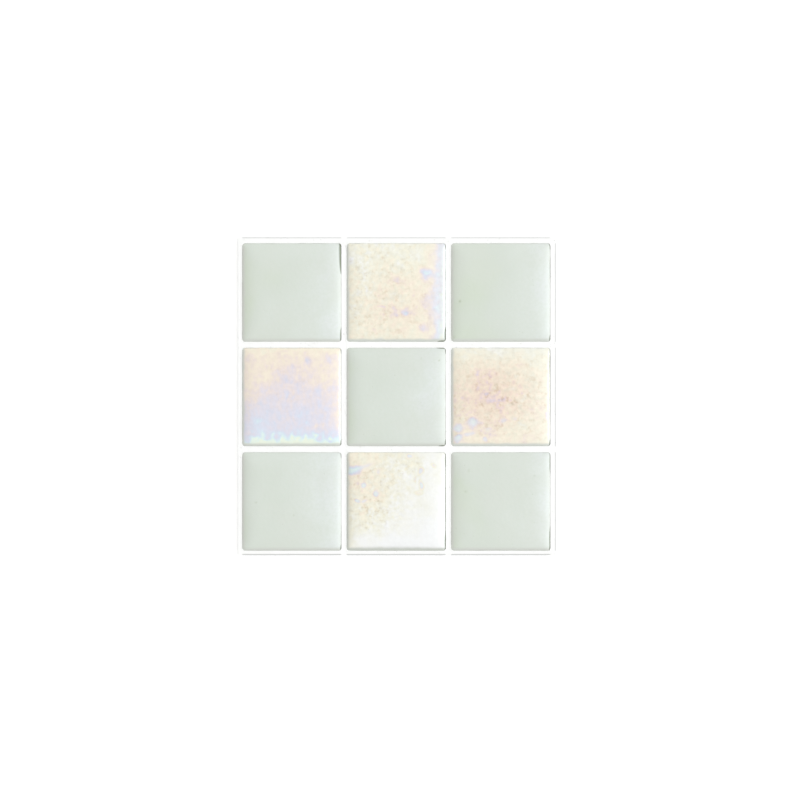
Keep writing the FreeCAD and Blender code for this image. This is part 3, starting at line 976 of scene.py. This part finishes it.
    def add_rim(self, shell: Shell, border: np.ndarray, height: np.ndarray, foot: float,
                centre: np.ndarray, reach: tuple[float, float, float, float], pitch: float) -> None:
        """Adds the sheet's outer wall where a tile's share reaches the sheet's edge.

        Args:
            shell: The mesh being gathered.
            border: The share's outline, all four sides in turn.
            height: The joint face's height along it.
            foot: The height of the lattice's underside.
            centre: The tile's centre.
            reach: Distances to the share's four borders.
            pitch: Distance between tiles.
        """
        steps = (len(border) - 1) // 4
        for side, distance in enumerate(reach):
            if distance > pitch / 2 + WELD:
                part = slice(side * steps, (side + 1) * steps + 1)
                down = np.array([0, 0.1, 0.5, 1.0])[:, None]
                level = height[part] + (foot - height[part]) * down
                plan = np.broadcast_to(border[part], (4, steps + 1, 2))
                # Painted shade on the sheet's outer wall.
                shell.add_grid(self.raised(plan, level, centre), cut=0.8)

    @staticmethod
    def raised(plan: np.ndarray, height: np.ndarray, centre: np.ndarray) -> np.ndarray:
        """Gives places in plan their height, and moves them to the tile's place on the sheet."""
        return np.concatenate([plan + centre, height[..., None]], axis=-1)


@dataclass
class FibreNet:
    """The woven net under the tiles: flat strands both ways that pass over and under each other."""

    node: str = "backing_mesh"
    spacing: float = 7.2 * MM
    count: int = 11
    width: float = 0.9 * MM
    thickness: float = 0.19 * MM
    steps_along: int = 132
    steps_round: int = 12

    def strand(self, offset: float, phase: float, half: float, middle: float) -> tuple[np.ndarray, np.ndarray, np.ndarray]:
        """Carries a flat oval along one strand's path.

        Args:
            offset: How far to the side the strand lies.
            phase: 0 if it goes over the first strand it crosses, pi if under.
            half: Half the strand's length.
            middle: The height of the net's middle.

        Returns:
            Points by steps along and steps round, the share of the way round, and the turns along.
            At t along, the oval's centre is at (t, offset, middle + w cos(pi t / spacing + phase));
            the oval is wider by a tenth where it crosses another strand.
        """
        along = np.linspace(-half, half, self.steps_along + 1)[:, None]
        turn = np.linspace(0, 2 * math.pi, self.steps_round + 1)[None]
        weave = np.cos(math.pi * along / self.spacing + phase)
        wide = self.width / 2 * (0.94 + 0.06 * weave**2)
        wander = 0.06 * MM * Ripples(9 * MM, int(abs(offset) / MM * 10) + (offset > 0)).at(along, along * 0)
        side = offset + wander + wide * np.cos(turn)
        rise = middle + (0.2 * MM - self.thickness / 2) * 0.98 * weave + self.thickness / 2 * np.sin(turn)
        points = np.stack(np.broadcast_arrays(along, side, rise), axis=-1)
        return points, turn / (2 * math.pi), along / (1.1 * MM)

    def build(self, material: bpy.types.Material) -> bpy.types.Object:
        """Weaves the strands, with a flat cap on each cut end.

        Args:
            material: The yarn.

        Returns:
            The net, riding on the sheet in place of its CAD node.
        """
        low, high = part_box(self.node)
        middle = (low.z + high.z) / 2
        shell = Shell()
        for way in range(2):
            for number in range(self.count):
                offset = (number - (self.count - 1) / 2) * self.spacing
                points, round_share, turns = self.strand(offset, math.pi * (number + way), high.x, middle)
                order = [0, 1, 2] if way == 0 else [1, 0, 2]
                ends = [self.cap(points[0]), self.cap(points[-1])]
                shell.add_grid(points[..., order], turned=way == 0, thread=round_share, turns=turns)
                shell.add_grid(ends[0][..., order], turned=way == 1, thread=0.0, turns=0.0)
                shell.add_grid(ends[1][..., order], turned=way == 0, thread=0.0, turns=0.0)
        piece = shell.build("fibre_net", material)
        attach(piece, "root")
        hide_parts(self.node)
        return piece

    @staticmethod
    def cap(ring: np.ndarray) -> np.ndarray:
        """Closes a strand's end: its ring of points in two rows, the lower half's walked backwards."""
        half = len(ring) // 2
        return np.stack([ring[:half], ring[-2 : half - 1 : -1]], axis=0)


@dataclass
class Studio:
    """The floor, the light and the camera of a plain product picture taken straight from above."""

    distance: float = 3.0
    sky: float = 0.69
    key_power: float = 82.8
    shift_right: float = 0.95 * MM
    shift_up: float = -0.75 * MM

    def lay_floor(self) -> None:
        """Lays the paper just under the net."""
        shell = Shell()
        line = np.linspace(-2.0, 2.0, 3)
        x, y = np.meshgrid(line, line, indexing="ij")
        shell.add_grid(np.stack([x, y, np.full_like(x, -0.00002)], axis=-1))
        floor = shell.build("studio_floor", StudioPaper().make())

    def light(self) -> None:
        """Hangs a large soft lamp to the right in an even, pale room."""
        world = bpy.data.worlds.new("studio_room")
        world.use_nodes = True
        room = world.node_tree.nodes["Background"]
        room.inputs["Color"].default_value = (1.0, 0.992, 0.97, 1.0)
        room.inputs["Strength"].default_value = self.sky
        bpy.context.scene.world = world
        lamp = bpy.data.lights.new("key_softbox", "AREA")
        lamp.shape = "RECTANGLE"
        lamp.size, lamp.size_y = 2.55, 2.55
        lamp.energy = self.key_power
        lamp.color = (0.94, 0.975, 1.0)
        softbox = bpy.data.objects.new("key_softbox", lamp)
        softbox.location = (2.70, 0.27, 1.89)
        softbox.rotation_euler = (-softbox.location).to_track_quat("-Z", "Y").to_euler()
        bpy.context.scene.collection.objects.link(softbox)

    def aim_camera(self, face: float) -> None:
        """Puts a long lens straight above the sheet.

        Args:
            face: The height of the tiles' faces, where the photograph's scale holds.
        """
        field = PHOTO_PIXELS / PIXELS_PER_MM * MM
        view = bpy.data.cameras.new("camera")
        view.lens = view.sensor_width * self.distance / field
        view.clip_end = 20.0
        camera = bpy.data.objects.new("camera", view)
        camera.location = Vector((self.shift_right, self.shift_up, face + self.distance))
        bpy.context.scene.collection.objects.link(camera)
        bpy.context.scene.camera = camera
        bpy.context.scene.view_settings.view_transform = "Standard"


def edge_slivers(*extra: Sliver) -> tuple[Sliver, ...]:
    """Gives the painted shade, dark slivers, that most tiles have at their right-hand corners, and a tile's own."""
    return (
        Sliver(Edge.RIGHT, 0.975, 0.05, 0.0161),
        Sliver(Edge.RIGHT, 0.02, 0.05, 0.0120),
        *extra,
    )


POURS: dict[str, Pour] = {
    "tile_r1_c1": Pour(
        seed=11,
        milk_and_light_blots=(Blot(0.45, 0.05, 0.40, 0.12, 0.20), Blot(0.55, 0.85, 0.40, 0.20, 0.22), Blot(0.03, 0.60, 0.10, 0.35, -0.12)),
        slivers=edge_slivers(Sliver(Edge.RIGHT, 0.08, 0.24, 0.034), Sliver(Edge.RIGHT, 0.94, 0.09, 0.0201)),
    ),
    "tile_r1_c3": Pour(
        seed=13,
        milk_and_light_blots=(Blot(0.10, 0.45, 0.45, 0.80, -0.20),),
        grit=(Blot(0.09, 0.59, 0.010, 0.012, 0.8), Blot(0.018, 0.955, 0.02, 0.02, 0.7)),
        slivers=edge_slivers(Sliver(Edge.RIGHT, 0.25, 0.14, 0.0088)),
    ),
    "tile_r2_c2": Pour(
        seed=22,
        milk_and_light_blots=(Blot(0.25, 0.05, 0.35, 0.12, 0.20), Blot(0.70, 0.50, 0.50, 0.90, 0.22)),
        grit=(Blot(0.93, 0.13, 0.008, 0.008, 0.6), Blot(0.75, 0.11, 0.008, 0.008, 0.4)),
        slivers=edge_slivers(Sliver(Edge.TOP, 0.96, 0.06, 0.0141), Sliver(Edge.BOTTOM, 0.97, 0.05, 0.0161)),
    ),
    "tile_r3_c1": Pour(
        seed=31,
        milk_and_light_blots=(Blot(0.30, 0.05, 0.35, 0.10, 0.20), Blot(0.50, 0.30, 0.60, 0.60, 0.18)),
        grit=(Blot(0.14, 0.51, 0.009, 0.010, 0.55), Blot(0.52, 0.64, 0.008, 0.01, 0.35)),
        slivers=edge_slivers(Sliver(Edge.RIGHT, 0.85, 0.14, 0.0080)),
    ),
    "tile_r3_c3": Pour(
        seed=33,
        milk_and_light_blots=(Blot(0.20, 0.04, 0.35, 0.10, 0.20), Blot(0.06, 0.55, 0.10, 0.45, -0.15)),
        grit=(Blot(0.18, 0.19, 0.010, 0.010, 0.7), Blot(0.84, 0.24, 0.011, 0.011, 0.28), Blot(0.15, 0.40, 0.012, 0.01, 0.4)),
        slivers=edge_slivers(Sliver(Edge.RIGHT, 0.10, 0.12, 0.0120), Sliver(Edge.RIGHT, 0.88, 0.14, 0.0161)),
    ),
    "tile_r1_c2": Pour(
        seed=12,
        corners=(0.21, 0.23, 0.32, 0.33),
        swell=0.02,
        bands=(Band(Edge.RIGHT, 0.28, 0.24, 0.26, 0.004), Band(Edge.RIGHT, 0.15, 0.11, 0.34, 0.006)),
        blots=(
            Blot(0.50, 0.50, 0.35, 0.30, 0.07),
            Blot(0.795, 0.31, 0.060, 0.062, 0.53),
            Blot(0.89, 0.32, 0.05, 0.035, 0.14),
            Blot(0.57, 0.70, 0.12, 0.05, 0.26),
            bead(0.60, 0.715, 0.025, 0.022, 0.25),
            bead(0.36, 0.64, 0.045, 0.020, 0.27, 10),
            bead(0.50, 0.36, 0.035, 0.035, 0.10),
            Blot(0.50, 0.38, 0.10, 0.05, 0.12),
            Blot(0.77, 0.86, 0.05, 0.05, 0.20),
            Blot(0.80, 0.60, 0.10, 0.13, 0.15),
            Blot(0.82, 0.18, 0.07, 0.06, 0.06),
            Blot(0.88, 0.60, 0.03, 0.10, 0.12),
            Blot(0.56, 0.89, 0.06, 0.04, 0.16),
            Blot(0.27, 0.88, 0.05, 0.03, 0.15),
            Blot(0.07, 0.18, 0.09, 0.05, -0.12),
            Blot(0.20, 0.50, 0.08, 0.05, -0.10),
        ),
        grit=(Blot(0.30, 0.45, 0.60, 0.75, 0.80),),
        # The second blot is painted shade: a darker strip just inside the right edge, where the shoulder catches the
        # lamp's highlight.
        stain_and_shade=(Blot(0.45, 0.62, 0.35, 0.30, 0.40), Blot(0.953, 0.5, 0.028, 2.0, 0.85)),
        haze=(Blot(1.0, 0.5, 0.15, 2.0, 0.43),),
        bead_haze=0.0,
        slivers=edge_slivers(Sliver(Edge.RIGHT, 0.93, 0.09, 0.0221), Sliver(Edge.BOTTOM, 0.97, 0.06, 0.0201)),
    ),
    "tile_r2_c1": Pour(
        seed=21,
        corners=(0.46, 0.47, 0.745, 0.70),
        swell=0.015,
        bands=(Band(Edge.BOTTOM, 0.150, 0.125, 0.28, 0.017), Band(Edge.TOP, 0.08, 0.08, -0.12)),
        blots=(
            Blot(0.50, 0.48, 0.30, 0.24, 0.04),
            Blot(0.05, 0.93, 0.07, 0.08, -0.15),
            Blot(0.24, 0.30, 0.05, 0.09, -0.08),
            Blot(0.06, 0.36, 0.05, 0.16, -0.06),
            Blot(0.66, 0.13, 0.030, 0.045, 0.24),
            Blot(0.52, 0.19, 0.040, 0.030, 0.12),
            Blot(0.46, 0.32, 0.04, 0.05, 0.10),
            Blot(0.57, 0.41, 0.05, 0.06, 0.12),
            Blot(0.455, 0.50, 0.015, 0.05, 0.14),
            Blot(0.77, 0.45, 0.04, 0.05, 0.10),
            Blot(0.88, 0.12, 0.05, 0.06, 0.14),
            Blot(0.92, 0.42, 0.05, 0.04, 0.12),
            Blot(0.85, 0.62, 0.05, 0.025, 0.10, 35),
            Blot(0.40, 0.70, 0.030, 0.035, 0.09),
            Blot(0.55, 0.70, 0.040, 0.025, 0.09),
            Blot(0.65, 0.76, 0.025, 0.025, 0.12),
            Blot(0.16, 0.75, 0.025, 0.025, 0.10),
            Blot(0.98, 0.66, 0.07, 0.24, -0.12),
            Blot(0.76, 0.79, 0.08, 0.020, -0.10, -18),
            *(Blot(u, v, 0.020, 0.034, 0.15) for u, v in (
                (0.22, 0.86), (0.30, 0.875), (0.41, 0.90), (0.50, 0.89), (0.572, 0.86),
                (0.645, 0.895), (0.725, 0.875), (0.804, 0.885), (0.89, 0.91), (0.96, 0.90),
            )),
            *(Blot(u, v, 0.018, 0.030, -0.05) for u, v in (
                (0.35, 0.915), (0.457, 0.895), (0.61, 0.92), (0.765, 0.905), (0.845, 0.93), (0.925, 0.93),
            )),
        ),
        grit=(Blot(0.50, 0.30, 0.60, 0.50, 0.20),),
        stain_and_shade=(Blot(0.30, 0.15, 0.40, 0.35, 0.2),),
        slivers=edge_slivers(),
    ),
    "tile_r2_c3": Pour(
        seed=23,
        corners=(0.30, 0.31, 0.42, 0.36),
        swell=0.02,
        bands=(Band(Edge.TOP, 0.12, 0.12, -0.08, 0.03),),
        blots=(
            Blot(0.42, 0.42, 0.34, 0.26, 0.07),
            Blot(0.15, 0.50, 0.25, 0.22, 0.05),
            Blot(0.38, 0.51, 0.08, 0.06, 0.16, 30),
            Blot(0.51, 0.62, 0.04, 0.12, 0.15),
            Blot(0.35, 0.27, 0.07, 0.05, 0.13),
            Blot(0.46, 0.24, 0.04, 0.04, 0.10),
            Blot(0.26, 0.42, 0.05, 0.03, 0.12),
            Blot(0.70, 0.46, 0.04, 0.05, 0.16),
            Blot(0.79, 0.28, 0.02, 0.02, 0.12),
            Blot(0.70, 0.57, 0.03, 0.08, -0.16, 25),
            Blot(0.45, 0.04, 0.16, 0.09, -0.05),
            bead(0.22, 0.76, 0.064, 0.040, 0.41),
            bead(0.075, 0.815, 0.054, 0.042, 0.47),
            bead(0.19, 0.875, 0.065, 0.022, 0.28, -10),
            bead(0.07, 0.92, 0.052, 0.032, 0.47),
            bead(0.53, 0.74, 0.028, 0.030, 0.24),
            bead(0.64, 0.72, 0.030, 0.020, 0.22),
            bead(0.37, 0.83, 0.030, 0.026, 0.18),
            bead(0.34, 0.93, 0.026, 0.022, 0.30),
            Blot(0.96, 0.69, 0.02, 0.05, 0.34),
            Blot(0.12, 0.49, 0.03, 0.03, 0.14),
        ),
        grit=(Blot(0.50, 0.53, 0.75, 0.50, 1.0), Blot(0.63, 0.085, 0.012, 0.012, 1.0)),
        stain_and_shade=(Blot(0.42, 0.48, 0.38, 0.32, 1.35),),
        haze=(Blot(0.95, 0.50, 0.20, 0.90, 0.14), Blot(0.60, 0.0, 0.45, 0.09, 0.35)),
        slivers=edge_slivers(Sliver(Edge.RIGHT, 0.18, 0.14, 0.0129), Sliver(Edge.RIGHT, 0.5, 0.3, 0.0064)),
    ),
    "tile_r3_c2": Pour(
        seed=32,
        corners=(0.34, 0.10, 0.16, 0.0),
        swell=0.015,
        bands=(Band(Edge.LEFT, 0.08, 0.08, 0.05),),
        blots=(
            Blot(0.20, 0.38, 0.22, 0.24, 0.07),
            Blot(0.38, 0.93, 0.30, 0.09, -0.13),
            bead(0.07, 0.185, 0.085, 0.043, 0.54, -10),
            bead(0.19, 0.145, 0.09, 0.030, 0.26, -20),
            bead(0.32, 0.20, 0.024, 0.030, 0.34),
            bead(0.175, 0.34, 0.032, 0.032, 0.58),
            bead(0.30, 0.415, 0.034, 0.034, 0.58),
            bead(0.115, 0.495, 0.030, 0.030, 0.60),
            bead(0.175, 0.50, 0.026, 0.024, 0.38),
            bead(0.745, 0.20, 0.026, 0.038, 0.66),
            bead(0.75, 0.335, 0.024, 0.048, 0.80),
            bead(0.68, 0.265, 0.014, 0.026, 0.56),
            bead(0.88, 0.13, 0.034, 0.014, 0.66, 40),
            bead(0.64, 0.045, 0.040, 0.024, 0.66),
            bead(0.735, 0.41, 0.034, 0.018, 0.36),
        ),
        grit=(
            Blot(0.25, 0.30, 0.35, 0.36, 0.85),
            Blot(0.60, 0.14, 0.16, 0.12, 0.60),
            Blot(0.22, 0.64, 0.24, 0.18, 0.55),
            Blot(0.22, 0.77, 0.018, 0.022, 1.0),
            Blot(0.05, 0.85, 0.02, 0.02, 0.9),
        ),
        stain_and_shade=(Blot(0.25, 0.30, 0.25, 0.25, 0.25),),
        milk_and_light_blots=(Blot(0.30, 0.50, 0.80, 0.80, -1.0),),
        haze=(bead(0.07, 0.185, 0.085, 0.043, -0.50, -10),),
        slivers=edge_slivers(
            Sliver(Edge.RIGHT, 0.90, 0.12, 0.0201), Sliver(Edge.RIGHT, 0.08, 0.09, 0.0161),
            # The left and bottom slivers are painted shade on the sides that face away from the lamp.
            Sliver(Edge.RIGHT, 0.5, 0.5, 0.0104), Sliver(Edge.LEFT, 0.5, 0.7, 0.07, 0.10),
            Sliver(Edge.BOTTOM, 0.5, 0.7, 0.06, 0.22),
        ),
    ),
}


def main() -> None:
    """Builds the tiles, the filler, the net and the studio, and logs how many faces each piece has."""
    logging.basicConfig(level=logging.INFO, format="%(name)s: %(message)s")
    glass = {"sage_glass": SageGlass().make(), "lustre_glass": LustreGlass().make()}
    tiles: list[PressedTile] = []
    for part in frame["record"]["subparts"]:
        if part["node"] in POURS:
            tile = PressedTile(part["node"], part["material_slot"], POURS[part["node"]])
            piece = tile.build(glass[tile.slot])
            tiles.append(tile)
            log.info("%s: %d faces of %s", piece.name, len(piece.data.polygons), tile.slot)
    filler = JointFiller().build(tiles, WhiteFiller().make())
    log.info("%s: %d faces", filler.name, len(filler.data.polygons))
    net = FibreNet().build(NetFibre().make())
    log.info("%s: %d faces", net.name, len(net.data.polygons))
    studio = Studio()
    studio.lay_floor()
    studio.light()
    studio.aim_camera(tiles[0].top)
    log.info("studio is lit, and the sizes are written")


if __name__ == "__main__":
    main()
